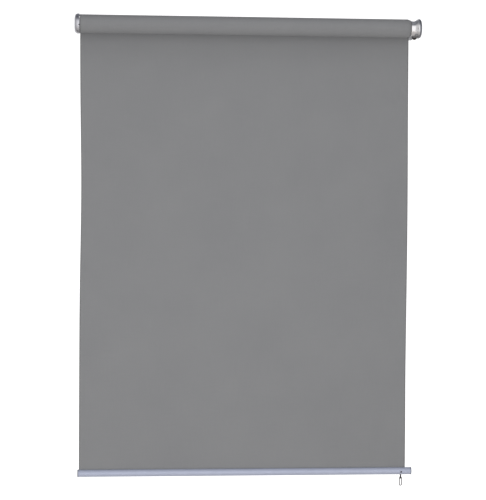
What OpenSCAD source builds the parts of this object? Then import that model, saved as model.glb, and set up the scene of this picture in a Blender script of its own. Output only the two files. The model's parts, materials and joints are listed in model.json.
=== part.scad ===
// Crank-driven outdoor roller blind, shown fully lowered.
// Frame: X along the roller, Y towards the wall, Z up. The wall plane is y = 0 and the
// origin is the centre of the four wall holes, at the height of the roller axis.

/* [Blind] */
// Overall width between the outer faces of the two end covers
overall_w = 1200; // [800:10:1600]
// Drop from the roller axis to the axis of the bottom bar
drop = 1552; // [600:1:2400]
// Thickness of the fabric
fabric_t = 0.8; // [0.4:0.1:1]
// Distance from the roller axis to the wall
wall_gap = 55; // [52:1:80]

/* [Roller] */
// Outer radius of the roller tube
tube_r = 30; // [29:0.5:30]
// Radius of the fabric wound on the tube
roll_r = 32; // [31.5:0.1:32.4]

/* [Bottom bar] */
// Outer radius of the bottom bar
bar_r = 12.5; // [11.5:0.1:13]
// How far in from the fabric's right edge the tie-down hook hangs
hook_inset = 15; // [12:1:200]

/* [End hardware] */
// Radius of the cover on the idle end
left_cover_r = 34.5; // [34:0.1:36]
// Radius of the cover on the gearbox end
right_cover_r = 34; // [34:0.1:38]
// Radius of the gearbox hub beside the fabric
hub_r = 26; // [26:0.1:28]
// Spacing of the two screw holes in each wall leaf
hole_dz = 40; // [30:1:44]

/* [Hidden] */
fine = 96;              // segments of the large round parts
small = 40;             // segments of screws, bores and wire
eps = 0.01;

axis_y = -wall_gap;
left_x = -overall_w / 2;
right_x = overall_w / 2;
fabric_x0 = left_x + 18;
fabric_x1 = right_x - 37;

// Roller tube and its keder groove
tube_wall = 1.8;
tube_x0 = fabric_x0 + 2;
tube_x1 = fabric_x1 - 10;
tube_in = tube_r - tube_wall;
groove_at = tube_in - 2;
groove_r = 3;
groove_wall = 1.2;
slot_w = 1.6;
plug_r = tube_in - 0.05;
collar_r = tube_r - 0.1;

// Steel brackets
sheet = 2.5;
leaf_w = 45;
leaf_h = 70;
leaf_neck = 18;         // width over which the leaf narrows to the arm at its fold
arm_h = 54;
hole_r = 2.75;
hole_x = right_x - 35;
left_cheek_x = left_x + 10;
right_cheek_x = right_x - 7.5;
left_cheek_r = left_cover_r - 3.5;
right_cheek_r = right_cover_r - 3.5;

// Covers
shell = 2;
left_round = 11;
right_round = 7.5;
left_cover_w = 17;
right_cover_w = 9.5;
left_screw_at = 20;
clip_angles = [140, 234];
right_screw_at = 17;

// Idle pin and its socket
pin_r = 5;
running = 0.05;         // radial clearance of every running fit
seat = 0.05;            // gap between faces that rest on each other
pin_x0 = left_x + 6;
pin_collar_x = pin_x0 + 28;
pin_x1 = pin_x0 + 46;
cavity_x0 = pin_collar_x - 0.2;
cavity_x1 = tube_x0 + 42;
cavity_r = 9;

// Gearbox
hub_x0 = fabric_x1 + 1.2;
hub_x1 = hub_x0 + 11.8;
flare_w = 12.4;
seam_x = right_x - right_cover_w;
house_x1 = right_cheek_x - 0.1;
house_wall = 2;
screw_ring = 25.6;
screw_angles = [70, 150, 240];
drain_angles = [186, 208, 222];
gear_x = right_x - 21;  // plane of the worm and wheel

// Worm gear: two-start worm, sixteen-tooth wheel, ratio 8 to 1
teeth = 16;
starts = 2;
wheel_pitch_r = 15;
wheel_w = 8;
axial_pitch = 2 * PI * wheel_pitch_r / teeth;
lead = starts * axial_pitch;
worm_pitch_r = 4.2;
addendum = 1;
dedendum = 1.2;
tooth_t = 2.3;
flank = 20;
centre_gap = wheel_pitch_r + worm_pitch_r;
wheel_twist = wheel_w * lead / (2 * PI * worm_pitch_r) / wheel_pitch_r * 180 / PI;
worm_len = 22;
worm_tilt = 65;         // angle of the crank socket below the horizontal
chest_r = 8;
boss_r = 10.5;
boss_tip_r = 7.7;
boss_end = 28.5;
bush_r = 6.7;
crank_r = 5.4;
socket_flats = 7.2;     // hexagonal socket for the crank's end
socket_depth = 12;
socket_end = 30.5;

// Bottom bar
panel_y = axis_y + roll_r + 0.3 + fabric_t / 2;
bar_z = -drop;
bar_x0 = fabric_x0 - 2;
bar_x1 = fabric_x1 + 19;
bar_wall = 1.2;
bar_groove_at = 8.2;
bar_groove_r = 2.9;
cap_r = bar_r + 0.7;
cap_t = 3;

// Tie-down hook
hook_x = fabric_x1 - hook_inset;
eye_r = 4.1;
eye_wire = 2.1;
eye_z = bar_z - bar_r - 9.6;
link_wire = 1.4;
link_bow = 3.8;
pivot_z = eye_z - eye_r + eye_wire + link_wire + 0.1;
link_top_z = pivot_z - link_bow;
link_run = 21.3;
link_bottom_z = link_top_z - link_run;
gate_z = link_bottom_z + 17.8;
gate_foot = 3;
ear_r = 1.8;

// ---- helpers ---------------------------------------------------------------

// Children drawn along +Z are laid along +X on the roller axis, starting at x.
module on_axis(x) translate([x, axis_y, 0]) rotate([0, 90, 0]) children();

module rod(r, x0, x1, fn = fine) on_axis(x0) cylinder(r = r, h = x1 - x0, $fn = fn);

module ring(r_out, r_in, x0, x1) difference() {
    rod(r_out, x0, x1);
    rod(r_in, x0 - 1, x1 + 1);
}

// A rod parallel to the roller axis, at a distance and an angle from +Y towards +Z.
module side_rod(r, x0, x1, at, angle, fn = small)
    translate([x0, axis_y + at * cos(angle), at * sin(angle)])
        rotate([0, 90, 0]) cylinder(r = r, h = x1 - x0, $fn = fn);

// A profile drawn in (Y, Z) about a centre is extruded along X.
module profile_x(x0, x1, y, z) translate([x0, y, z])
    rotate([90, 0, 90]) linear_extrude(x1 - x0) children();

// Children drawn along +Z are laid on the worm axis, pointing out of the crank socket.
module on_worm(t) translate([gear_x, axis_y, 0])
    rotate([worm_tilt - 90, 0, 0]) translate([0, centre_gap, -t]) rotate([0, 180, 0]) children();

module worm_rod(r, t0, t1, r_end = undef) on_worm(t0)
    cylinder(r1 = r, r2 = is_undef(r_end) ? r : r_end, h = t1 - t0, $fn = small);

// Outline of a round cap: radius r, depth w, with a quarter-round outer edge.
function cap_outline(r, w, edge) = concat(
    [[0, 0], [r, 0]],
    [for (a = [0 : 15 : 90]) [r - edge + edge * cos(a), w - edge + edge * sin(a)]],
    [[0, w]]);

// A hollow round cap, open at x = 0 and closed at x = w.
module cap_shell(r, w, edge) difference() {
    rotate_extrude($fn = fine) polygon(cap_outline(r, w, edge));
    translate([0, 0, -eps]) rotate_extrude($fn = fine)
        polygon(cap_outline(r - shell, w - shell + eps, edge - shell));
}

module screw(head_r, head_h, shank_r, length) {
    cylinder(r = head_r, h = head_h, $fn = small);
    translate([0, 0, head_h - eps]) cylinder(r = shank_r, h = length - head_h, $fn = small);
}

module flush_screw(head_r, shank_r, length) {
    cylinder(r1 = head_r, r2 = shank_r, h = head_r - shank_r, $fn = small);
    cylinder(r = shank_r, h = length, $fn = small);
}

// A hole drilled towards the roller axis, from outside in to the radius r_in.
module radial_hole(r, x, r_in, angle)
    translate([x, axis_y, 0]) rotate([angle, 0, 0]) translate([0, r_in, 0])
        rotate([-90, 0, 0]) cylinder(r = r, h = 30, $fn = small);

// ---- brackets and covers ---------------------------------------------------

// The leaf is as high as the arm at its fold and widens towards its free end.
function leaf_outline(inward) = [
    [0, -arm_h / 2], [inward * leaf_neck / 2, -arm_h / 2], [inward * leaf_neck, -leaf_h / 2],
    [inward * (leaf_w - 3), -leaf_h / 2], [inward * leaf_w, 3 - leaf_h / 2],
    [inward * leaf_w, leaf_h / 2 - 3], [inward * (leaf_w - 3), leaf_h / 2],
    [inward * leaf_neck, leaf_h / 2], [inward * leaf_neck / 2, arm_h / 2], [0, arm_h / 2]];

// One folded sheet: a round cheek with an arm to the wall, and a leaf turned inwards.
module bracket(cheek_x, inward, cheek_r) difference() {
    union() {
        rod(cheek_r, cheek_x, cheek_x + sheet);
        translate([cheek_x, axis_y, -arm_h / 2]) cube([sheet, wall_gap, arm_h]);
        translate([inward > 0 ? cheek_x : cheek_x + sheet, 0, 0])
            rotate([90, 0, 0]) linear_extrude(sheet) polygon(leaf_outline(inward));
    }
    for (z = [-hole_dz / 2, hole_dz / 2])
        translate([-inward * hole_x, 1, z]) rotate([90, 0, 0])
            cylinder(r = hole_r, h = sheet + 2, $fn = small);
}

module left_bracket() color("gainsboro") difference() {
    bracket(left_cheek_x, 1, left_cheek_r);
    rod(9, left_cheek_x - 1, left_cheek_x + sheet + 1);
    for (a = [90, 270]) side_rod(1.5, left_cheek_x - 1, left_cheek_x + sheet + 1, left_screw_at, a);
}

module right_bracket() color("gainsboro") difference() {
    bracket(right_cheek_x, -1, right_cheek_r);
    rod(7.5, right_cheek_x - 1, right_cheek_x + sheet + 1);
    for (a = screw_angles)
        side_rod(2.1, right_cheek_x - 1, right_cheek_x + sheet + 1, screw_ring, a);
    for (a = [90, 270])
        side_rod(1.6, right_cheek_x - 1, right_cheek_x + sheet + 1, right_screw_at, a);
}

// Slot in a cover's rim for the bracket arm.
module arm_slot(x0, x1) translate([x0, axis_y + 15, -arm_h / 2 - 0.4])
    cube([x1 - x0, 30, arm_h + 0.8]);

module left_cover() color("silver") difference() {
    union() {
        difference() {
            translate([left_x + left_cover_w, axis_y, 0]) rotate([0, -90, 0])
                cap_shell(left_cover_r, left_cover_w, left_round);
            arm_slot(left_cheek_x - 0.3, left_x + left_cover_w + 1);
        }
        for (a = [90, 270])
            side_rod(4, left_x + shell - eps, left_cheek_x - 0.05, left_screw_at, a);
    }
    for (a = [90, 270])
        translate([left_x - eps, axis_y, left_screw_at * sin(a)]) rotate([0, 90, 0])
            flush_screw(3.1, 1.6, 14);
    for (a = clip_angles) radial_hole(2.2, left_x + 9, left_cover_r - 6, a);
    radial_hole(1.8, left_x + left_cover_w - 1.5, left_cover_r - 6, 192);
}

module left_cover_screws() color("dimgray") for (a = [90, 270])
    translate([left_x, axis_y, left_screw_at * sin(a)]) rotate([0, 90, 0])
        flush_screw(3, 1.45, 12);

module socket_bush() color("dimgray") difference() {
    union() {
        rod(8.95, left_cheek_x - 0.5, left_cheek_x + sheet);
        rod(12, left_cheek_x + sheet + 0.05, left_cheek_x + sheet + 2);
        rod(8.95, left_cheek_x + sheet - eps, left_cheek_x + sheet + 1);
    }
    rod(pin_r + running, left_cheek_x - 2, left_cheek_x + sheet + 3);
}

// ---- gearbox ---------------------------------------------------------------

// The hub widens in a slightly hollow cone: radius against distance from its inner face.
function flare(r0, r1, x) = [for (t = [0 : 0.2 : 1]) [r0 + (r1 - r0) * pow(t, 1.25), x + flare_w * t]];

skirt_r = right_cover_r - shell - 0.1;
house_w = house_x1 - hub_x0;
house_outline = concat(
    [[0, 0], [hub_r, 0]],
    flare(hub_r, right_cover_r, hub_x1 - hub_x0),
    [[right_cover_r, seam_x - seat - hub_x0], [skirt_r, seam_x - seat - hub_x0],
     [skirt_r, house_w], [0, house_w]]);
house_hollow = concat(
    [[0, 3], [hub_r - house_wall, 3]],
    flare(hub_r - house_wall, skirt_r - 2.1, hub_x1 - hub_x0 + 1.5),
    [[skirt_r - 2.1, house_w + 1], [0, house_w + 1]]);

module gearbox_housing() color("silver") difference() {
    union() {
        difference() {
            on_axis(hub_x0) rotate_extrude($fn = fine) polygon(house_outline);
            on_axis(hub_x0) rotate_extrude($fn = fine) polygon(house_hollow);
        }
        difference() {
            union() {
                worm_rod(chest_r, -19, 18);
                worm_rod(boss_r, 12, boss_end, boss_tip_r);
            }
            rod(hub_r - house_wall - 2, hub_x0 + 3, house_x1);
        }
        rod(13.5, hub_x0, hub_x0 + 6);
        for (a = screw_angles) side_rod(4.5, house_x1 - 6.3, house_x1, screw_ring, a);
    }
    rod(11, hub_x0 - 1, hub_x0 + 7);
    worm_rod(5.8, -17.1, 18);
    worm_rod(bush_r, 15.9, boss_end + 1);
    rod(wheel_pitch_r + 3, gear_x - wheel_w / 2 - 1, gear_x + wheel_w / 2 + 1);
    for (a = screw_angles) side_rod(1.9, house_x1 - 5.3, house_x1 + 1, screw_ring, a);
    for (a = drain_angles) radial_hole(1.3, seam_x - 5.5, 22, a);
}

module gearbox_cover() color("silver") difference() {
    union() {
        difference() {
            on_axis(seam_x) cap_shell(right_cover_r, right_cover_w, right_round);
            arm_slot(seam_x - 1, right_cheek_x + sheet + 0.3);
        }
        for (a = [90, 270])
            side_rod(3.5, right_cheek_x + sheet + 0.05, right_x - shell + eps, right_screw_at, a);
    }
    for (a = [90, 270])
        translate([right_x + eps, axis_y, right_screw_at * sin(a)]) rotate([0, -90, 0])
            flush_screw(3.1, 1.6, 8);
    rod(20, right_x - 0.6, right_x + 1);
}

module gearbox_screws() color("dimgray") for (a = screw_angles)
    translate([right_cheek_x + sheet + 2.25, axis_y + screw_ring * cos(a), screw_ring * sin(a)])
        rotate([0, -90, 0]) screw(3.4, 2.2, 1.85, 9.5);

module cover_screws() color("dimgray") for (a = [90, 270])
    translate([right_x - 0.6, axis_y, right_screw_at * sin(a)]) rotate([0, -90, 0])
        flush_screw(2.4, 1.45, 9);

module shaft_bush() color("dimgray") difference() {
    union() {
        rod(10.95, hub_x0, hub_x0 + 6);
        rod(13, hub_x0 - 1.2, hub_x0 - 0.05);
        rod(10.95, hub_x0 - 1, hub_x0 + 1);
    }
    rod(8 + running, hub_x0 - 3, hub_x0 + 8);
}

module tail_bush() color("dimgray") difference() {
    union() {
        rod(7.45, right_cheek_x - 0.5, right_cheek_x + sheet);
        rod(9, right_cheek_x - 2, right_cheek_x - 0.05);
    }
    rod(pin_r + running, right_cheek_x - 3, right_cheek_x + sheet + 1);
}

module worm_bush_lower() color("dimgray") difference() {
    worm_rod(bush_r - 0.05, 16.2, 27.5);
    worm_rod(crank_r + running, 15, 29);
}

module worm_bush_upper() color("dimgray") difference() {
    worm_rod(5.75, -17, -12);
    worm_rod(3 + running, -18, -11);
}

// ---- roller ----------------------------------------------------------------

module groove_notch(x0, x1) translate([x0, axis_y, groove_at]) rotate([0, 90, 0])
    cylinder(r = groove_r + groove_wall + 0.4, h = x1 - x0, $fn = small);

module roller_tube() color("lightgray") profile_x(tube_x0, tube_x1, axis_y, 0) difference() {
    union() {
        difference() {
            circle(tube_r, $fn = fine);
            circle(tube_in, $fn = fine);
        }
        intersection() {
            circle(tube_r - 1, $fn = fine);
            translate([0, groove_at]) circle(groove_r + groove_wall, $fn = small);
        }
    }
    translate([0, groove_at]) circle(groove_r, $fn = small);
    translate([-slot_w / 2, groove_at]) square([slot_w, 10]);
}

module tube_keder() color("white") translate([tube_x0 + 5, axis_y, groove_at])
    rotate([0, 90, 0]) cylinder(r = 2.1, h = tube_x1 - tube_x0 - 10, $fn = small);

// The wound fabric; past the end of the tube it sinks onto the drive plug's cone.
module fabric_roll() color("gray") let (w = fabric_x1 - fabric_x0) on_axis(fabric_x0)
    rotate_extrude($fn = fine) polygon([
        [tube_r + 0.1, 0], [roll_r, 0], [roll_r, w - 9], [roll_r - 4.4, w],
        [tube_r - 4.4, w], [tube_r + 0.1, w - 8.5]]);

// A moulded plug: collar, sleeve, end disc, hub and four ribs.
module plug_body(collar_x0, collar_x1, x0, x1, hub) {
    rod(collar_r, collar_x0, collar_x1);
    ring(plug_r, plug_r - 2.5, x0, x1);
    rod(hub, x0, x1);
    for (a = [45, 135]) translate([x0, axis_y, 0]) rotate([a, 0, 0])
        translate([1.5, -plug_r + 1, -1.25]) cube([x1 - x0 - 3, 2 * plug_r - 2, 2.5]);
}

module idle_plug() color("dimgray") difference() {
    plug_body(fabric_x0, tube_x0 - seat, tube_x0 - 1, tube_x0 + 45, 12);
    rod(pin_r + running, fabric_x0 - 1, cavity_x0 + 1);
    rod(cavity_r, cavity_x0, tube_x0 + 46);
    groove_notch(tube_x0 - 0.5, tube_x0 + 46);
}

module idle_plug_cap() color("dimgray") difference() {
    union() {
        rod(cavity_r - 0.05, cavity_x1, tube_x0 + 45);
        rod(11.5, tube_x0 + 45.05, tube_x0 + 47);
        rod(cavity_r - 0.05, tube_x0 + 44, tube_x0 + 46);
    }
    rod(pin_r + 0.5, cavity_x1 - 1, tube_x0 + 48);
}

module idle_pin() color("silver") {
    on_axis(pin_x0) cylinder(r1 = pin_r - 1, r2 = pin_r, h = 1.5, $fn = small);
    rod(pin_r, pin_x0 + 1.5 - eps, pin_x1, small);
    rod(8.5, pin_collar_x, pin_collar_x + 2, small);
}

// Points of a round wire swept along a helix about +Z.
function coil_ring(t, turns, height, r, wire, sides) =
    let (a = 360 * turns * t, c = [r * cos(a), r * sin(a), height * t])
    [for (k = [0 : sides - 1]) let (b = 360 * k / sides)
        c + wire * [cos(b) * cos(a), cos(b) * sin(a), sin(b)]];

module coil(turns, height, r, wire, sides = 8, steps_per_turn = 14) {
    steps = turns * steps_per_turn;
    points = [for (i = [0 : steps]) each coil_ring(i / steps, turns, height, r, wire, sides)];
    walls = [for (i = [0 : steps - 1], k = [0 : sides - 1]) let (n = (k + 1) % sides)
        each [[i * sides + k, i * sides + n, (i + 1) * sides + n],
              [i * sides + k, (i + 1) * sides + n, (i + 1) * sides + k]]];
    start = [for (k = [sides - 1 : -1 : 0]) k];
    finish = [for (k = [0 : sides - 1]) steps * sides + k];
    polyhedron(points, concat(walls, [start, finish]), convexity = 10);
}

module pin_spring() color("gray") let (x = pin_collar_x + 2.8)
    on_axis(x) coil(6, cavity_x1 - 0.8 - x, 7, 0.7);

module drive_plug() color("dimgray") difference() {
    union() {
        plug_body(tube_x1 + seat, tube_x1 + 1, tube_x1 - 40, tube_x1 + 1, 12);
        on_axis(tube_x1 + 1 - eps)
            cylinder(r1 = collar_r, r2 = hub_r - 1, h = hub_x0 - tube_x1 - 3.1, $fn = fine);
    }
    on_axis(tube_x1 - 27) cylinder(r = 8.15, h = 40, $fn = 6);
    groove_notch(tube_x1 - 41, tube_x1 + 0.5);
}

module output_shaft() color("silver") difference() {
    union() {
        on_axis(tube_x1 - 24) cylinder(r = 8, h = hub_x0 - tube_x1 + 23, $fn = 6);
        rod(8, hub_x0 - 1.4, gear_x - wheel_w / 2 - 0.6);
        rod(6, gear_x - wheel_w / 2 - 1, gear_x + wheel_w / 2 + 0.5);
        rod(pin_r, gear_x + wheel_w / 2, right_cheek_x + sheet - 0.5);
    }
    translate([gear_x - wheel_w / 2 - 0.4, axis_y - 7, 4.5]) cube([wheel_w + 1, 14, 4]);
}

// Tooth and thread outlines: half of the thickness at a height above the pitch line.
function half_tooth(h) = tooth_t / 2 - h * tan(flank);

// Wheel outline: at each radius, the tooth's half angle comes from its half thickness.
function wheel_tooth(i) = let (c = 360 * i / teeth)
    [for (s = [-1, 1], h = s < 0 ? [-dedendum, 0, addendum] : [addendum, 0, -dedendum])
        let (r = wheel_pitch_r + h, a = c + s * half_tooth(h) / r * 180 / PI)
        [r * cos(a), r * sin(a)]];

// A gap between two teeth faces the worm.
module worm_wheel() color("goldenrod") difference() {
    translate([gear_x, axis_y, 0]) rotate([worm_tilt - 90, 0, 0]) rotate([90, 0, 90])
        rotate([0, 0, 180 / teeth - wheel_twist / 2])
            linear_extrude(wheel_w, center = true, slices = 8, twist = -wheel_twist)
                polygon([for (i = [0 : teeth - 1]) each wheel_tooth(i)]);
    difference() {
        rod(6.05, gear_x - wheel_w, gear_x + wheel_w);
        translate([gear_x - wheel_w, axis_y - 7, 4.6]) cube([2 * wheel_w, 14, 4]);
    }
}

// ---- crank input -----------------------------------------------------------

// Worm section: at each radius, a lobe's half angle is its half thickness over the lead.
function lobe(c) = [for (s = [-1, 1], h = s < 0 ? [-dedendum, 0, addendum] : [addendum, 0, -dedendum])
    let (r = worm_pitch_r + h, a = c + s * half_tooth(h) / lead * 360) [r * cos(a), r * sin(a)]];
function root_arc(c) = [for (a = [60 : 15 : 120])
    (worm_pitch_r - dedendum) * [cos(c + a), sin(c + a)]];

module worm() color("silver") difference() {
    on_worm(-worm_len / 2) rotate([0, 0, 90])
        linear_extrude(worm_len, twist = -360 * worm_len / lead, slices = 56)
            rotate([0, 0, -180 * worm_len / lead])
                polygon(concat(lobe(0), root_arc(0), lobe(180), root_arc(180)));
    worm_rod(1.95, -worm_len, worm_len);
}

module worm_shaft() color("silver") difference() {
    union() {
        worm_rod(3, -16.8, -worm_len / 2 - 0.05);
        worm_rod(1.9, -worm_len / 2 - 1, worm_len / 2 + 1);
        worm_rod(3, worm_len / 2 + 0.05, 17);
        worm_rod(crank_r, 16.6, socket_end);
    }
    on_worm(socket_end - socket_depth)
        cylinder(r = socket_flats / 2 / cos(30), h = socket_depth + 1, $fn = 6);
}

// ---- curtain ---------------------------------------------------------------

module fabric_panel() color("gray")
    translate([fabric_x0, panel_y - fabric_t / 2, bar_z + bar_groove_at + 2.4])
        cube([fabric_x1 - fabric_x0, fabric_t, drop - bar_groove_at - 2.4]);

module bar_notch(x0, x1) profile_x(x0, x1, panel_y, bar_z)
    translate([0, bar_groove_at]) circle(bar_groove_r + 1.6, $fn = small);

module bottom_bar() color("lightsteelblue") difference() {
    profile_x(bar_x0, bar_x1, panel_y, bar_z) difference() {
        union() {
            difference() {
                circle(bar_r, $fn = fine);
                circle(bar_r - bar_wall, $fn = fine);
            }
            intersection() {
                circle(bar_r - 0.6, $fn = fine);
                translate([0, bar_groove_at]) circle(bar_groove_r + bar_wall, $fn = small);
            }
        }
        translate([0, bar_groove_at]) circle(bar_groove_r, $fn = small);
        translate([-slot_w / 2, bar_groove_at]) square([slot_w, 10]);
    }
    translate([hook_x, panel_y, bar_z - bar_r - 1]) cylinder(r = 2.1, h = 6, $fn = small);
    translate([hook_x, panel_y, bar_z - 2]) rotate([90, 0, 0])
        cylinder(r = 1.4, h = bar_r + 2, $fn = small);
}

module bar_keder() color("white") translate([fabric_x0 + 1, panel_y, bar_z + bar_groove_at])
    rotate([0, 90, 0]) cylinder(r = 2.1, h = fabric_x1 - fabric_x0 - 2, $fn = small);

// A push-in end cap: a rounded disc outside, and a plug that clears the keder groove.
module bar_cap() color("slategray") {
    rotate_extrude($fn = fine) polygon(cap_outline(cap_r, cap_t, 1.8));
    difference() {
        translate([0, 0, -8]) cylinder(r = bar_r - bar_wall - 0.05, h = 8 + eps, $fn = fine);
        translate([0, 0, -9]) cylinder(r = bar_r - bar_wall - 2, h = 8, $fn = fine);
        translate([-bar_groove_at, 0, -9]) cylinder(r = bar_groove_r + 1.6, h = 9 + eps / 2, $fn = small);
    }
}

module bar_cap_right() translate([bar_x1 + seat, panel_y, bar_z]) rotate([0, 90, 0]) bar_cap();

module bar_cap_left() translate([bar_x0 - seat, panel_y, bar_z]) mirror([1, 0, 0])
    rotate([0, 90, 0]) bar_cap();

// ---- tie-down hook ---------------------------------------------------------

module eye_bolt() color("dimgray") difference() {
    translate([hook_x, panel_y, 0]) union() {
        difference() {
            translate([0, 0, eye_z + eye_r]) cylinder(r1 = 2, r2 = 3.8, h = 12, $fn = small);
            translate([-20, 0, bar_z]) rotate([0, 90, 0]) cylinder(r = bar_r + 0.02, h = 40, $fn = fine);
        }
        translate([0, 0, bar_z - bar_r - 4]) cylinder(r = 2, h = bar_r + 3, $fn = small);
        translate([0, 0, bar_z - 5.5]) cylinder(r = 3.5, h = 8.2, $fn = small);
        translate([0, 0, eye_z]) rotate([0, 90, 0]) rotate_extrude($fn = small)
            translate([eye_r, 0]) circle(eye_wire, $fn = 24);
    }
    translate([hook_x, panel_y + 5, bar_z - 2]) rotate([90, 0, 0])
        cylinder(r = 1.3, h = 10, $fn = small);
}

module eye_screw() color("dimgray") translate([hook_x, panel_y - bar_r - 1.55, bar_z - 2])
    rotate([-90, 0, 0]) screw(2.7, 1.4, 1.25, bar_r + 3);

// A half turn of round wire in the XZ plane, bulging up, or down where up is -1.
module bow(z, up) translate([hook_x, panel_y, z]) rotate([90, 0, 0]) rotate([0, 0, up > 0 ? 0 : 180])
    rotate_extrude(angle = 180, $fn = fine) translate([link_bow, 0]) circle(link_wire, $fn = 24);

module wire(x, z0, z1) translate([x, panel_y, z0]) cylinder(r = link_wire, h = z1 - z0, $fn = 24);

// A flat round ear whose axis is along Y, at the gate's hinge.
module ear(y0, y1) translate([hook_x + link_bow, panel_y + y1, gate_z]) rotate([90, 0, 0])
    cylinder(r = ear_r, h = y1 - y0, $fn = small);

module snap_hook() color("silver") difference() {
    union() {
        bow(link_top_z, 1);
        bow(link_bottom_z, -1);
        wire(hook_x - link_bow, link_bottom_z - eps, link_top_z + eps);
        wire(hook_x + link_bow, link_bottom_z - eps, link_bottom_z + gate_foot);
        wire(hook_x + link_bow, gate_z + ear_r + 0.4, link_top_z + eps);
        ear(-0.6, 0.6);
        translate([hook_x + link_bow - 1, panel_y - 0.6, gate_z]) cube([2, 1.2, ear_r + 1]);
    }
    translate([hook_x + link_bow, panel_y + 3, gate_z]) rotate([90, 0, 0])
        cylinder(r = 0.75, h = 6, $fn = small);
}

module gate_rivet() color("dimgray") translate([hook_x + link_bow, panel_y, gate_z]) rotate([90, 0, 0]) {
    cylinder(r = 0.7, h = 3.4, center = true, $fn = small);
    for (s = [-1, 1]) translate([0, 0, s * 1.85]) cylinder(r = 1.2, h = 0.4, center = true, $fn = small);
}

module snap_gate() color("silver") difference() {
    union() {
        for (s = [-1, 1]) ear(s > 0 ? 0.7 : -1.6, s > 0 ? 1.6 : -0.7);
        for (s = [-1, 1])
            translate([hook_x + link_bow - 1.1, panel_y + (s > 0 ? 0.7 : -1.6), gate_z - ear_r - 2.2])
                cube([2.2, 0.9, ear_r + 2.2]);
        wire(hook_x + link_bow, link_bottom_z + gate_foot + 0.25, gate_z - ear_r - 0.3);
        translate([hook_x + link_bow, panel_y, gate_z - ear_r - 2.2])
            cylinder(r = 1.7, h = 1.8, $fn = small);
    }
    translate([hook_x + link_bow, panel_y + 3, gate_z]) rotate([90, 0, 0])
        cylinder(r = 0.75, h = 6, $fn = small);
}

// ---- the assembly ----------------------------------------------------------

left_bracket();
left_cover();
left_cover_screws();
socket_bush();
right_bracket();
gearbox_housing();
gearbox_cover();
gearbox_screws();
cover_screws();
shaft_bush();
tail_bush();
worm_bush_lower();
worm_bush_upper();
roller_tube();
tube_keder();
fabric_roll();
idle_plug();
idle_plug_cap();
drive_plug();
output_shaft();
worm_wheel();
idle_pin();
pin_spring();
worm();
worm_shaft();
fabric_panel();
bottom_bar();
bar_keder();
bar_cap_left();
bar_cap_right();
eye_bolt();
eye_screw();
snap_hook();
gate_rivet();
snap_gate();
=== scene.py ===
# Roller blind: cloth, finishes and a plain studio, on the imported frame.
import json
import math

import bmesh
import bpy
from mathutils import Matrix, Vector


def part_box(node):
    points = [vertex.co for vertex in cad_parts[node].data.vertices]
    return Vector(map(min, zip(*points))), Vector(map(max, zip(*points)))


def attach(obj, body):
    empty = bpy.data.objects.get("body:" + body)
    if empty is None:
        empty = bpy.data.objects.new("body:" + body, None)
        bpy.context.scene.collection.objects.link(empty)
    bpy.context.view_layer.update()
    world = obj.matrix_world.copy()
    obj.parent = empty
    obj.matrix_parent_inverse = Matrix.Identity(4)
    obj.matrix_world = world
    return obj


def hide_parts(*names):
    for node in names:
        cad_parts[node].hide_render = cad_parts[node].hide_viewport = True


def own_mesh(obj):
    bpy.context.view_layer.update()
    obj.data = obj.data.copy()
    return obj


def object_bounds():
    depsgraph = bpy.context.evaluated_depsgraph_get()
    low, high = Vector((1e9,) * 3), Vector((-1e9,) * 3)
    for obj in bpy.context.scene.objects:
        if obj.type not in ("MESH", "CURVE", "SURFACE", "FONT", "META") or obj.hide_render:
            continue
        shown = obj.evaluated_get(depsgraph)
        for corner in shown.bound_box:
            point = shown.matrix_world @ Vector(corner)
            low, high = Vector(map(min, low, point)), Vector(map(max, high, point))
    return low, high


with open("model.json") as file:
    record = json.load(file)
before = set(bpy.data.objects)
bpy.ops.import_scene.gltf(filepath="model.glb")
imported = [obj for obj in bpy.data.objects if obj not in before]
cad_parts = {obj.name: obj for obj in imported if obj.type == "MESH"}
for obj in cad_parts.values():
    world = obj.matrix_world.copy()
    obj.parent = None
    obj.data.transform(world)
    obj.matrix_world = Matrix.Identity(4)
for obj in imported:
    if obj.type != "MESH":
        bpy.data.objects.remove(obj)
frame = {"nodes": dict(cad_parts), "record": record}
cad_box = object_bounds()
nodes = frame["nodes"]
scene = bpy.context.scene

# ---- places and sizes, in metres, most taken from the frame -------------------

panel_lo, panel_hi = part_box("fabric_panel")
roll_lo, roll_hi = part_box("fabric_roll")
tube_lo, tube_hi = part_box("roller_tube")
spring_lo, spring_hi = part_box("pin_spring")

AXIS_Y = (roll_lo[1] + roll_hi[1]) / 2
ROLL_R = (roll_hi[2] - roll_lo[2]) / 2
TUBE_R = (tube_hi[1] - tube_lo[1]) / 2
PANEL_Y = (panel_lo[1] + panel_hi[1]) / 2
CLOTH_T = panel_hi[1] - panel_lo[1]
LEFT, RIGHT = panel_lo[0], panel_hi[0]
WIDTH = RIGHT - LEFT
TOP, BOTTOM = panel_hi[2], panel_lo[2]
DROP = TOP - BOTTOM
THREAD = 0.0011         # pitch of the weave
PAINTED_SHADE_Z = -0.76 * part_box("gearbox_cover")[1][2]       # top of the painted shade on the housing: just below the hub, at the boss
EVEN_GRAIN = (500.0, 500.0, 500.0)      # grain of the lacquered castings, in X, Y and Z


# ---- node helpers --------------------------------------------------------------

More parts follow.
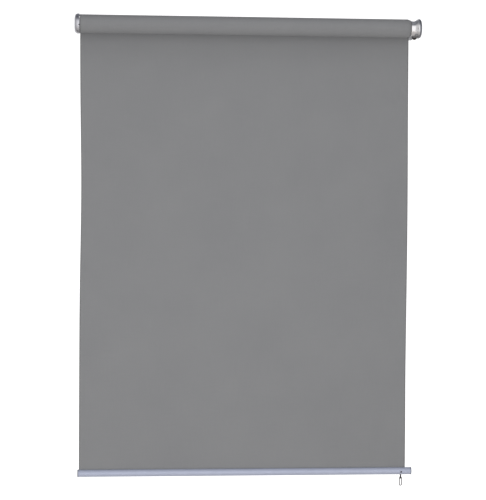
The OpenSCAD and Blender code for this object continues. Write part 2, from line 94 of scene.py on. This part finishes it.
class Finish:
    """A Principled material with a few procedural layers."""

    def __init__(self, name, colour, metallic=0.0, rough=0.5, **sockets):
        self.mat = bpy.data.materials.new(name)
        self.mat.use_nodes = True
        self.nt = self.mat.node_tree
        self.bsdf = self.nt.nodes["Principled BSDF"]
        self.bsdf.inputs["Base Color"].default_value = (*colour, 1.0)
        self.bsdf.inputs["Metallic"].default_value = metallic
        self.bsdf.inputs["Roughness"].default_value = rough
        for key, value in sockets.items():
            self.bsdf.inputs[key.replace("_", " ")].default_value = value
        self.mat.diffuse_color = (*colour, 1.0)
        self.place = self.add("ShaderNodeTexCoord").outputs["Object"]
        self.height = None

    def add(self, kind, **props):
        made = self.nt.nodes.new(kind)
        for key, value in props.items():
            setattr(made, key, value)
        return made

    def link(self, a, b):
        self.nt.links.new(a, b)

    def math(self, op, a, b=None, clamp=False):
        made = self.add("ShaderNodeMath", operation=op, use_clamp=clamp)
        for i, v in enumerate((a, b)):
            if v is None:
                continue
            if isinstance(v, (int, float)):
                made.inputs[i].default_value = v
            else:
                self.link(v, made.inputs[i])
        return made.outputs[0]

    def stretched(self, scale, where=None):
        made = self.add("ShaderNodeMapping")
        made.inputs["Scale"].default_value = scale
        self.link(where or self.place, made.inputs["Vector"])
        return made.outputs["Vector"]

    def noise(self, scale, detail=3.0, rough=0.5, where=None):
        made = self.add("ShaderNodeTexNoise")
        made.inputs["Scale"].default_value = scale
        made.inputs["Detail"].default_value = detail
        made.inputs["Roughness"].default_value = rough
        self.link(where or self.place, made.inputs["Vector"])
        return made.outputs["Fac"]

    def remap(self, value, a, b, low=0.3, high=0.7):
        made = self.add("ShaderNodeMapRange")
        for i, v in enumerate((low, high, a, b), 1):
            made.inputs[i].default_value = v
        self.link(value, made.inputs[0])
        return made.outputs[0]

    def two_colours(self, factor, a, b):
        made = self.add("ShaderNodeMix", data_type="RGBA")
        made.inputs["A"].default_value = (*a, 1.0)
        made.inputs["B"].default_value = (*b, 1.0)
        self.link(factor, made.inputs["Factor"])
        return made.outputs["Result"]

    def darken(self, colour, factor):
        """colour times factor, a value from 0 to 1."""
        made = self.add("ShaderNodeMix", data_type="RGBA", blend_type="MULTIPLY")
        made.inputs["Factor"].default_value = 1.0
        self.link(colour, made.inputs["A"])
        grey = self.add("ShaderNodeCombineColor")
        for i in range(3):
            self.link(factor, grey.inputs[i])
        self.link(grey.outputs[0], made.inputs["B"])
        return made.outputs["Result"]

    def colour(self, socket):
        self.link(socket, self.bsdf.inputs["Base Color"])

    def rough(self, socket):
        self.link(socket, self.bsdf.inputs["Roughness"])

    def bump(self, socket, distance, strength):
        made = self.add("ShaderNodeBump")
        made.inputs["Strength"].default_value = strength
        made.inputs["Distance"].default_value = distance
        self.link(socket, made.inputs["Height"])
        if self.height is not None:
            self.link(self.height, made.inputs["Normal"])
        self.height = made.outputs["Normal"]
        self.link(self.height, self.bsdf.inputs["Normal"])


def shade(colour, k):
    return tuple(min(1.0, c * k) for c in colour)


# ---- finishes ------------------------------------------------------------------

def cloth_finish():
    """Dense plain weave in grey; u runs across the cloth and v along it, in metres."""
    f = Finish("cloth_grey_weave", (0.186, 0.189, 0.195), rough=0.82, Specular_IOR_Level=0.25,
               Sheen_Weight=0.08, Sheen_Roughness=0.6)
    uv = f.add("ShaderNodeUVMap", uv_map="cloth").outputs["UV"]
    parts = f.add("ShaderNodeSeparateXYZ")
    f.link(uv, parts.inputs[0])
    u, v = parts.outputs["X"], parts.outputs["Y"]
    su, sv = f.math("MULTIPLY", u, 1 / THREAD), f.math("MULTIPLY", v, 1 / THREAD)
    cu = f.math("ABSOLUTE", f.math("SINE", f.math("MULTIPLY", su, math.pi)))
    cv = f.math("ABSOLUTE", f.math("SINE", f.math("MULTIPLY", sv, math.pi)))
    over = f.math("FLOORED_MODULO", f.math("ADD", f.math("FLOOR", su), f.math("FLOOR", sv)), 2.0)
    under = f.math("SUBTRACT", 1.0, over)
    warp = f.math("MULTIPLY", cu, f.math("ADD", f.math("MULTIPLY", cv, 0.45), 0.55))
    weft = f.math("MULTIPLY", cv, f.math("ADD", f.math("MULTIPLY", cu, 0.45), 0.55))
    height = f.math("ADD", f.math("MULTIPLY", warp, over), f.math("MULTIPLY", weft, under))
    slub_u = f.noise(1.0, 2.0, 0.5, f.stretched((900.0, 14.0, 1.0), uv))
    slub_v = f.noise(1.0, 2.0, 0.5, f.stretched((14.0, 900.0, 1.0), uv))
    slub = f.math("ADD", f.math("MULTIPLY", slub_u, 0.5), f.math("MULTIPLY", slub_v, 0.5))
    broad = f.noise(5.0, 3.0, 0.55, uv)
    base = f.two_colours(f.remap(broad, 0.0, 1.0), (0.181, 0.183, 0.188), (0.190, 0.192, 0.196))
    base = f.darken(base, f.remap(slub, 0.955, 1.0, 0.35, 0.6))
    # painted shade: the gaps between the threads are darkened
    base = f.darken(base, f.remap(height, 0.87, 1.0, 0.0, 0.9))
    # a narrow heat-sealed edge down both sides
    inner = f.math("MINIMUM", u, f.math("SUBTRACT", WIDTH, u))
    base = f.darken(base, f.remap(inner, 0.86, 1.0, 0.0025, 0.0045))
    f.colour(base)
    f.rough(f.remap(height, 0.92, 0.76, 0.1, 0.9))
    f.bump(height, 0.00022, 0.7)
    f.bump(slub, 0.00012, 0.5)
    return f.mat


def mottled(f, value, colour, dark, light):
    """The colour, from its dark to its light shade with the value."""
    return f.two_colours(f.remap(value, 0.0, 1.0), shade(colour, dark), shade(colour, light))


def metal_finish(name, colour, rough, grain=(60.0, 60.0, 60.0), spread=0.05, depth=0.00004,
                 tint=0.06, metallic=1.0):
    """Metal with a fine grain, small changes of tone and roughness, and faint handling marks."""
    f = Finish(name, colour, metallic=metallic, rough=rough)
    tone = f.noise(38.0, 4.0, 0.55)
    fine = f.noise(1.0, 3.0, 0.6, f.stretched(grain))
    f.colour(mottled(f, tone, colour, 1 - tint, 1 + tint))
    marks = f.remap(fine, -spread, spread)
    patch = f.remap(tone, rough - spread / 2, rough + spread / 2)
    f.rough(f.math("ADD", patch, marks, clamp=True))
    f.bump(fine, depth, 0.6)
    return f.mat


def housing_finish(name, colour, rough):
    """The gearbox housing: silver lacquer set light for painted highlights, rougher and darkened
    with painted shade under the hub and on the boss.
    """
    f = Finish(name, colour, metallic=1.0, rough=rough)
    tone = f.noise(38.0, 4.0, 0.55)
    fine = f.noise(1.0, 3.0, 0.6, f.stretched(EVEN_GRAIN))
    parts = f.add("ShaderNodeSeparateXYZ")
    f.link(f.place, parts.inputs[0])
    wander = f.math("MULTIPLY", f.math("SUBTRACT", tone, 0.5), 0.004)
    height = f.math("ADD", parts.outputs["Z"], wander)
    low, high = PAINTED_SHADE_Z - 0.002, PAINTED_SHADE_Z + 0.002
    base = mottled(f, tone, colour, 0.96, 1.04)
    # painted shade: below the hub and on the boss the lacquer is darkened to 0.42 of its colour
    f.colour(f.darken(base, f.remap(height, 0.42, 1.0, low, high)))
    f.rough(f.math("ADD", f.remap(height, 0.55, rough, low, high),
                   f.remap(fine, -0.03, 0.03), clamp=True))
    f.bump(fine, 0.00003, 0.6)
    return f.mat


def plastic_finish(name, colour, rough, **sockets):
    """Moulded plastic: a spark-eroded texture, slight mottling."""
    f = Finish(name, colour, rough=rough, **sockets)
    mottle = f.noise(70.0, 3.0, 0.5)
    grain = f.noise(1600.0, 2.0, 0.6)
    f.colour(mottled(f, mottle, colour, 0.92, 1.08))
    f.rough(f.remap(grain, rough - 0.06, rough + 0.06))
    f.bump(grain, 0.00006, 0.5)
    return f.mat


def plated_finish(name, colour, rough):
    """Zinc plate with a faint crystal pattern."""
    f = Finish(name, colour, metallic=1.0, rough=rough)
    cells = f.add("ShaderNodeTexVoronoi", feature="F1")
    cells.inputs["Scale"].default_value = 240.0
    f.link(f.place, cells.inputs["Vector"])
    tone = f.noise(55.0, 3.0, 0.5)
    mixed = f.math("ADD", f.math("MULTIPLY", cells.outputs["Distance"], 0.5),
                   f.math("MULTIPLY", tone, 0.6))
    f.colour(mottled(f, mixed, colour, 0.9, 1.08))
    f.rough(f.remap(mixed, rough - 0.05, rough + 0.09))
    f.bump(f.noise(500.0, 2.0, 0.5), 0.00003, 0.5)
    return f.mat


finishes = {
    "fabric_grey": cloth_finish(),
    # painted shade: the gearbox cover's lacquer is set darker than the housing's, to dim its rim
    "cover_silver": metal_finish("silver_lacquer_cover", (0.30, 0.305, 0.335), 0.40,
                                 grain=EVEN_GRAIN, depth=0.00003),
    "bracket_steel": plated_finish("zinc_plate_bracket", (0.62, 0.63, 0.65), 0.34),
    "screw_steel": plated_finish("zinc_plate_screw", (0.38, 0.38, 0.40), 0.38),
    "shaft_steel": metal_finish("turned_steel", (0.55, 0.55, 0.57), 0.3,
                                grain=(2500.0, 60.0, 60.0)),
    "spring_steel": metal_finish("spring_wire", (0.36, 0.36, 0.38), 0.34),
    "gear_brass": metal_finish("cut_brass", (0.73, 0.55, 0.26), 0.3, tint=0.1),
    "nylon": plastic_finish("nylon_bush_dark", (0.035, 0.035, 0.037), 0.52),
    "plug_nylon": plastic_finish("nylon_plug_grey", (0.115, 0.116, 0.12), 0.55),
    "tube_aluminium": metal_finish("mill_aluminium", (0.68, 0.69, 0.71), 0.36,
                                   grain=(6.0, 900.0, 900.0)),
    "bar_aluminium": metal_finish("anodised_bar", (0.355, 0.38, 0.475), 0.50, tint=0.03,
                                  grain=(5.0, 800.0, 800.0), depth=0.00002, metallic=0.25),
    "keder_pvc": plastic_finish("keder_white", (0.62, 0.62, 0.60), 0.5),
    "bar_cap": plastic_finish("bar_cap_blue_grey", (0.13, 0.135, 0.17), 0.38),
    "eye_dark": plastic_finish("eye_dark_enamel", (0.030, 0.024, 0.026), 0.45,
                               Specular_IOR_Level=0.3),
    "hook_nickel": metal_finish("black_nickel_plate", (0.085, 0.078, 0.076), 0.36, spread=0.06,
                                tint=0.12),
}

# pieces whose finish differs from the rest of their slot; the one silver lacquer is set lightest
# on the housing as a painted highlight and darker on both covers as painted shade
own_finish = {
    # painted shade: the idle cover's lacquer is set darker than the housing's, to soften its
    # highlight
    "left_cover": metal_finish("silver_lacquer_idle_cover", (0.52, 0.52, 0.555), 0.36, spread=0.04,
                               grain=EVEN_GRAIN, depth=0.00003),
    "gearbox_housing": housing_finish("silver_lacquer_housing", (0.80, 0.79, 0.80), 0.24),
    "worm_shaft": metal_finish("blackened_steel", (0.12, 0.11, 0.10), 0.42),
}

slot_of = {p["node"]: p["material_slot"] for p in frame["record"]["subparts"]}
for name, thing in nodes.items():
    for place in thing.material_slots:
        place.material = own_finish.get(name, finishes[slot_of[name]])


# ---- meshes --------------------------------------------------------------------

def into_scene(name, bm):
    """Makes an object of the bmesh and frees it."""
    mesh = bpy.data.meshes.new(name)
    bm.to_mesh(mesh)
    bm.free()
    made = bpy.data.objects.new(name, mesh)
    scene.collection.objects.link(made)
    return made


# ---- cloth ---------------------------------------------------------------------

def closed_sheet(name, front, back, us, vs):
    """A thin closed mesh from two grids of points, front[j][i] and back[j][i], with cloth UVs."""
    bm = bmesh.new()
    layer = bm.loops.layers.uv.new("cloth")
    rows, cols = len(vs), len(us)
    grid = [[[bm.verts.new(p) for p in row] for row in side] for side in (front, back)]

    def face(corners):
        made = bm.faces.new([grid[s][j][i] for s, j, i in corners])
        made.smooth = True
        for loop, (s, j, i) in zip(made.loops, corners):
            loop[layer].uv = (us[i], vs[j])

    for j in range(rows - 1):
        for i in range(cols - 1):
            face([(0, j, i), (0, j + 1, i), (0, j + 1, i + 1), (0, j, i + 1)])
            face([(1, j, i), (1, j, i + 1), (1, j + 1, i + 1), (1, j + 1, i)])
    for i in range(cols - 1):
        face([(0, 0, i), (0, 0, i + 1), (1, 0, i + 1), (1, 0, i)])
        face([(0, rows - 1, i), (1, rows - 1, i), (1, rows - 1, i + 1), (0, rows - 1, i + 1)])
    for j in range(rows - 1):
        face([(0, j, 0), (1, j, 0), (1, j + 1, 0), (0, j + 1, 0)])
        face([(0, j, cols - 1), (0, j + 1, cols - 1), (1, j + 1, cols - 1), (1, j, cols - 1)])
    bmesh.ops.recalc_face_normals(bm, faces=bm.faces)
    made = into_scene(name, bm)
    made.data.materials.append(finishes["fabric_grey"])
    return made


def bell(t, centre, width):
    return math.exp(-((t - centre) / width) ** 2)


def smooth(v):
    v = min(1.0, max(0.0, v))
    return v * v * (3 - 2 * v)


# the side edges, left and right: how far each bows, how far down, and over what part of the drop
EDGE_BOWS = ((0.0052, 0.37, 0.19), (0.0035, 0.42, 0.30))
# the cloth's upright waves: depth, number across, number down, phase
WAVES = ((0.0011, 3.2, 0.15, 0.0), (0.0006, 7.4, -0.3, 1.1))
WAVE_BASE = 0.0017      # the sum of their depths, so that no wave comes forward of the panel
EDGE_CUP, CUP_WIDTH = 0.0035, 0.045


def edge_bow(a, t):
    """Both side edges bow towards +X: the left one is drawn in, the right one stands out."""
    left, right = (depth * bell(t, middle, width) for depth, middle, width in EDGE_BOWS)
    return left * (1 - a) ** 2 + right * a ** 2


def hanging_point(a, t):
    """A point of the hanging cloth: a from 0 to 1 across it, t from 0 to 1 down it."""
    free = smooth(t / 0.25) * smooth((0.95 - t) / 0.20)     # flat at the roll and at the bar
    x = LEFT + a * WIDTH + edge_bow(a, t)
    # tension draws faint upright waves, and the side edges cup a little, both towards the wall
    waves = sum((depth * math.sin(2 * math.pi * (across * a + down * t) + phase)
                 for depth, across, down, phase in WAVES), WAVE_BASE)
    cup = EDGE_CUP * (bell(a, 0.0, CUP_WIDTH) + bell(a, 1.0, CUP_WIDTH))
    y = PANEL_Y + free * (waves + cup)
    return Vector((x, y, TOP - t * DROP))


NEARBY = 1e-3       # how far to each side of a point the cloth's direction is taken, of its width


def hanging_cloth():
    def closer_at_ends(n):
        """n + 1 numbers from 0 to 1, closer together at both ends."""
        return [0.5 - 0.5 * math.cos(math.pi * (0.15 + 0.7 * k / n)) / math.cos(math.pi * 0.15)
                for k in range(n + 1)]

    across, down = closer_at_ends(140), closer_at_ends(150)
    us = [a * WIDTH for a in across]
    vs = [t * DROP for t in down]
    front, back = [], []
    for t in down:
        row_f, row_b = [], []
        for a in across:
            p = hanging_point(a, t)
            side = hanging_point(a + NEARBY, t) - hanging_point(a - NEARBY, t)
            n = side.cross(Vector((0, 0, 1))).normalized()
            row_f.append(p + n * CLOTH_T / 2)
            row_b.append(p - n * CLOTH_T / 2)
        front.append(row_f)
        back.append(row_b)
    made = closed_sheet("cloth_hanging", front, back, us, vs)
    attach(made, "wall_fixing")
    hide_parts("fabric_panel")
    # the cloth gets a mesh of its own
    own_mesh(made)


TURNS = 1.25                        # safety turns left on the tube
TURN_STEPS = 150
INNER_R, OUTER_R = TUBE_R + 0.00055, ROLL_R - 0.0004        # of the cloth's middle
LAP_T = 0.00072                     # thickness of one lap
CONE_START = RIGHT - 0.009
END_TAPER = 0.0043                  # the cloth draws in at the gearbox end, past the tube


def wound_cloth():
    """The safety turns on the tube: a spiral from the rear, outside, in to the slot at the top."""
    length = TURNS * 2 * math.pi * (INNER_R + OUTER_R) / 2
    xs = [LEFT + 0.0001, LEFT + 0.0012]
    xs += [LEFT + 0.004 + (CONE_START - LEFT - 0.004) * k / 60 for k in range(61)]
    xs += [CONE_START + (RIGHT - 0.0001 - CONE_START) * k / 8 for k in range(1, 9)]
    front, back = [], []
    for j in range(TURN_STEPS + 1):
        s = j / TURN_STEPS
        turn = 2 * math.pi * TURNS * s
        r = OUTER_R + (INNER_R - OUTER_R) * s
        row_f, row_b = [], []
        for x in xs:
            sink = max(0.0, (x - CONE_START) / (RIGHT - CONE_START))
            rr = r - END_TAPER * sink
            # the cloth is not perfectly tight on the tube
            rr += 0.00008 * math.sin(5 * turn + 9 * x) * min(1.0, 6 * s * (1 - s) + 0.3)
            c, d = math.cos(turn), math.sin(turn)
            row_f.append(Vector((x, AXIS_Y + (rr + LAP_T / 2) * c, (rr + LAP_T / 2) * d)))
            row_b.append(Vector((x, AXIS_Y + (rr - LAP_T / 2) * c, (rr - LAP_T / 2) * d)))
        front.append(row_f)
        back.append(row_b)
    us = [x - LEFT for x in xs]
    vs = [length * j / TURN_STEPS for j in range(TURN_STEPS + 1)]
    made = closed_sheet("cloth_wound", front, back, us, vs)
    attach(made, "roller")
    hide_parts("fabric_roll")


wound_cloth()
hanging_cloth()


# ---- idle-pin spring -----------------------------------------------------------

WIRE_R, COIL_R = 0.0007, 0.007
COILS, STEPS_PER_COIL, WIRE_SIDES = 6.0, 24, 12
END_PART, END_RISE = 0.10, 0.06         # share of the wire, and of the length, in each closed end


def coiled_wire(name, path, radius, sides):
    """A closed round wire along a list of points that coil round the X direction."""
    bm = bmesh.new()
    rings = []
    along = Vector((1, 0, 0))
    for k, p in enumerate(path):
        t = (path[min(k + 1, len(path) - 1)] - path[max(k - 1, 0)]).normalized()
        n = (along - along.dot(t) * t).normalized()
        b = t.cross(n)
        rings.append([bm.verts.new(p + radius * (math.cos(2 * math.pi * q / sides) * n
                                                 + math.sin(2 * math.pi * q / sides) * b))
                      for q in range(sides)])
    for a, b in zip(rings, rings[1:]):
        for q in range(sides):
            r = (q + 1) % sides
            bm.faces.new((a[q], a[r], b[r], b[q])).smooth = True
    bm.faces.new(list(reversed(rings[0])))
    bm.faces.new(rings[-1])
    bmesh.ops.recalc_face_normals(bm, faces=bm.faces)
    return into_scene(name, bm)


def idle_spring():
    x0, x1 = spring_lo[0] + WIRE_R, spring_hi[0] - WIRE_R
    steps = COILS * STEPS_PER_COIL
    path = []
    for k in range(int(steps) + 1):
        s = k / steps
        # the end coils lie closed
        along = min(1.0, max(0.0, (s - END_PART) / (1 - 2 * END_PART)))
        x = x0 + (x1 - x0) * (END_RISE * min(1.0, s / END_PART) + (1 - 2 * END_RISE) * along
                              + END_RISE * max(0.0, (s - (1 - END_PART)) / END_PART))
        a = 2 * math.pi * COILS * s
        path.append(Vector((x, AXIS_Y + COIL_R * math.cos(a), COIL_R * math.sin(a))))
    made = coiled_wire("idle_spring", path, WIRE_R, WIRE_SIDES)
    made.data.materials.append(finishes["spring_steel"])
    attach(made, "roller")
    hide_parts("pin_spring")
    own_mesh(made)


idle_spring()


# ---- studio --------------------------------------------------------------------

FLOOR_R, FLOOR_SIDES, FLOOR_BELOW = 2.4, 96, 0.6


def studio_floor():
    """A pale round floor, FLOOR_BELOW under the hook, as under a blind at window height."""
    bm = bmesh.new()
    centre = Vector((0.0, 0.0, cad_box[0][2] - FLOOR_BELOW))
    ring = [bm.verts.new(centre + Vector((FLOOR_R * math.cos(a), FLOOR_R * math.sin(a), 0.0)))
            for a in (2 * math.pi * k / FLOOR_SIDES for k in range(FLOOR_SIDES))]
    bm.faces.new(ring)
    made = into_scene("studio_floor", bm)
    f = Finish("studio_floor_paint", (0.92, 0.88, 0.83), rough=0.6)
    f.rough(f.remap(f.noise(3.0), 0.55, 0.65))
    made.data.materials.append(f.mat)


# brightness and colour of the studio at each elevation, in degrees
STUDIO = [(-90, (0.36, 0.32, 0.28)), (-54, (0.46, 0.42, 0.38)), (-42, (0.92, 0.90, 0.88)),
          (-30, (1.22, 1.22, 1.22)), (30, (1.22, 1.22, 1.23)), (42, (0.46, 0.47, 0.50)),
          (54, (0.16, 0.17, 0.19)), (66, (0.22, 0.23, 0.25)), (90, (0.28, 0.29, 0.32))]
# brightness of the studio's sides against its front and back, and the X where they begin and end
LEFT_SIDE, RIGHT_SIDE = 0.56, 0.42
SIDE_START, SIDE_END = 0.38, 0.80


def studio_world():
    """White in front and behind, dimmer at both sides and overhead, warm below."""
    world = bpy.data.worlds.new("studio")
    world.use_nodes = True
    nt = world.node_tree
    back = nt.nodes["Background"]
    where = nt.nodes.new("ShaderNodeTexCoord")
    parts = nt.nodes.new("ShaderNodeSeparateXYZ")
    up = nt.nodes.new("ShaderNodeMapRange")
    up.inputs["From Min"].default_value = -1.0
    ramp = nt.nodes.new("ShaderNodeValToRGB")
    sides = []
    for start, end, value in ((SIDE_START, SIDE_END, RIGHT_SIDE),
                              (-SIDE_START, -SIDE_END, LEFT_SIDE)):
        side = nt.nodes.new("ShaderNodeMapRange")
        side.interpolation_type = "SMOOTHSTEP"
        for key, number in (("From Min", start), ("From Max", end),
                            ("To Min", 1.0), ("To Max", value)):
            side.inputs[key].default_value = number
        nt.links.new(parts.outputs["X"], side.inputs["Value"])
        sides.append(side)
    both = nt.nodes.new("ShaderNodeMath")
    both.operation = "MULTIPLY"
    nt.links.new(where.outputs["Generated"], parts.inputs[0])
    nt.links.new(parts.outputs["Z"], up.inputs["Value"])
    nt.links.new(up.outputs["Result"], ramp.inputs["Fac"])
    nt.links.new(ramp.outputs["Color"], back.inputs["Color"])
    for side, socket in zip(sides, both.inputs):
        nt.links.new(side.outputs["Result"], socket)
    nt.links.new(both.outputs[0], back.inputs["Strength"])
    line = ramp.color_ramp
    while len(line.elements) < len(STUDIO):
        line.elements.new(0.5)
    for element, (elevation, colour) in zip(line.elements, STUDIO):
        element.position = (math.sin(math.radians(elevation)) + 1) / 2
        element.color = (*colour, 1.0)
    scene.world = world


def softbox(name, place, target, size, power):
    """A white rectangular lamp, in watts, that metal does not mirror."""
    lamp = bpy.data.lights.new(name, "AREA")
    lamp.shape = "RECTANGLE"
    lamp.size, lamp.size_y = size
    lamp.energy = power
    made = bpy.data.objects.new(name, lamp)
    scene.collection.objects.link(made)
    made.visible_glossy = False
    made.location = place
    made.rotation_euler = (Vector(target) - Vector(place)).to_track_quat("-Z", "Y").to_euler()


CAMERA_YAW, CAMERA_PITCH, CAMERA_ROLL = 4.65, 1.5, 0.33      # degrees
CAMERA_TARGET, CAMERA_DISTANCE = (-0.0160, -0.040, -0.7740), 5.34
SENSOR = 36.0           # mm, the height of the frame
FOCAL_RATIO = 1535.9 / 500.0        # focal length against the height of the frame


def camera():
    """The photograph's viewing angle: a little to the left and almost level."""
    yaw, pitch, roll = (math.radians(a) for a in (CAMERA_YAW, CAMERA_PITCH, CAMERA_ROLL))
    target = Vector(CAMERA_TARGET)
    forward = Vector((math.sin(yaw) * math.cos(pitch), math.cos(yaw) * math.cos(pitch),
                      -math.sin(pitch)))
    right = forward.cross(Vector((0, 0, 1))).normalized()
    upward = right.cross(forward)
    right, upward = (right * math.cos(roll) + upward * math.sin(roll),
                     upward * math.cos(roll) - right * math.sin(roll))
    data = bpy.data.cameras.new("camera")
    data.sensor_fit = "VERTICAL"
    data.sensor_height = SENSOR
    data.lens = SENSOR * FOCAL_RATIO
    data.clip_end = 50.0
    made = bpy.data.objects.new("camera", data)
    scene.collection.objects.link(made)
    place = target - forward * CAMERA_DISTANCE
    turn = Matrix((right, upward, -forward)).transposed().to_4x4()
    made.matrix_world = Matrix.Translation(place) @ turn
    scene.camera = made


studio_floor()
studio_world()
# name, place, target, width and height, watts; the low one stays above the floor, which blocks it
softbox("low_key", (-0.3, -2.9, -1.75), (0.0, 0.0, -1.0), (2.4, 0.8), 51.0)
softbox("top_wash", (0.0, -0.9, 1.7), (0.0, -0.5, -2.2), (2.0, 1.0), 15.0)
camera()
scene.view_settings.view_transform = "Standard"
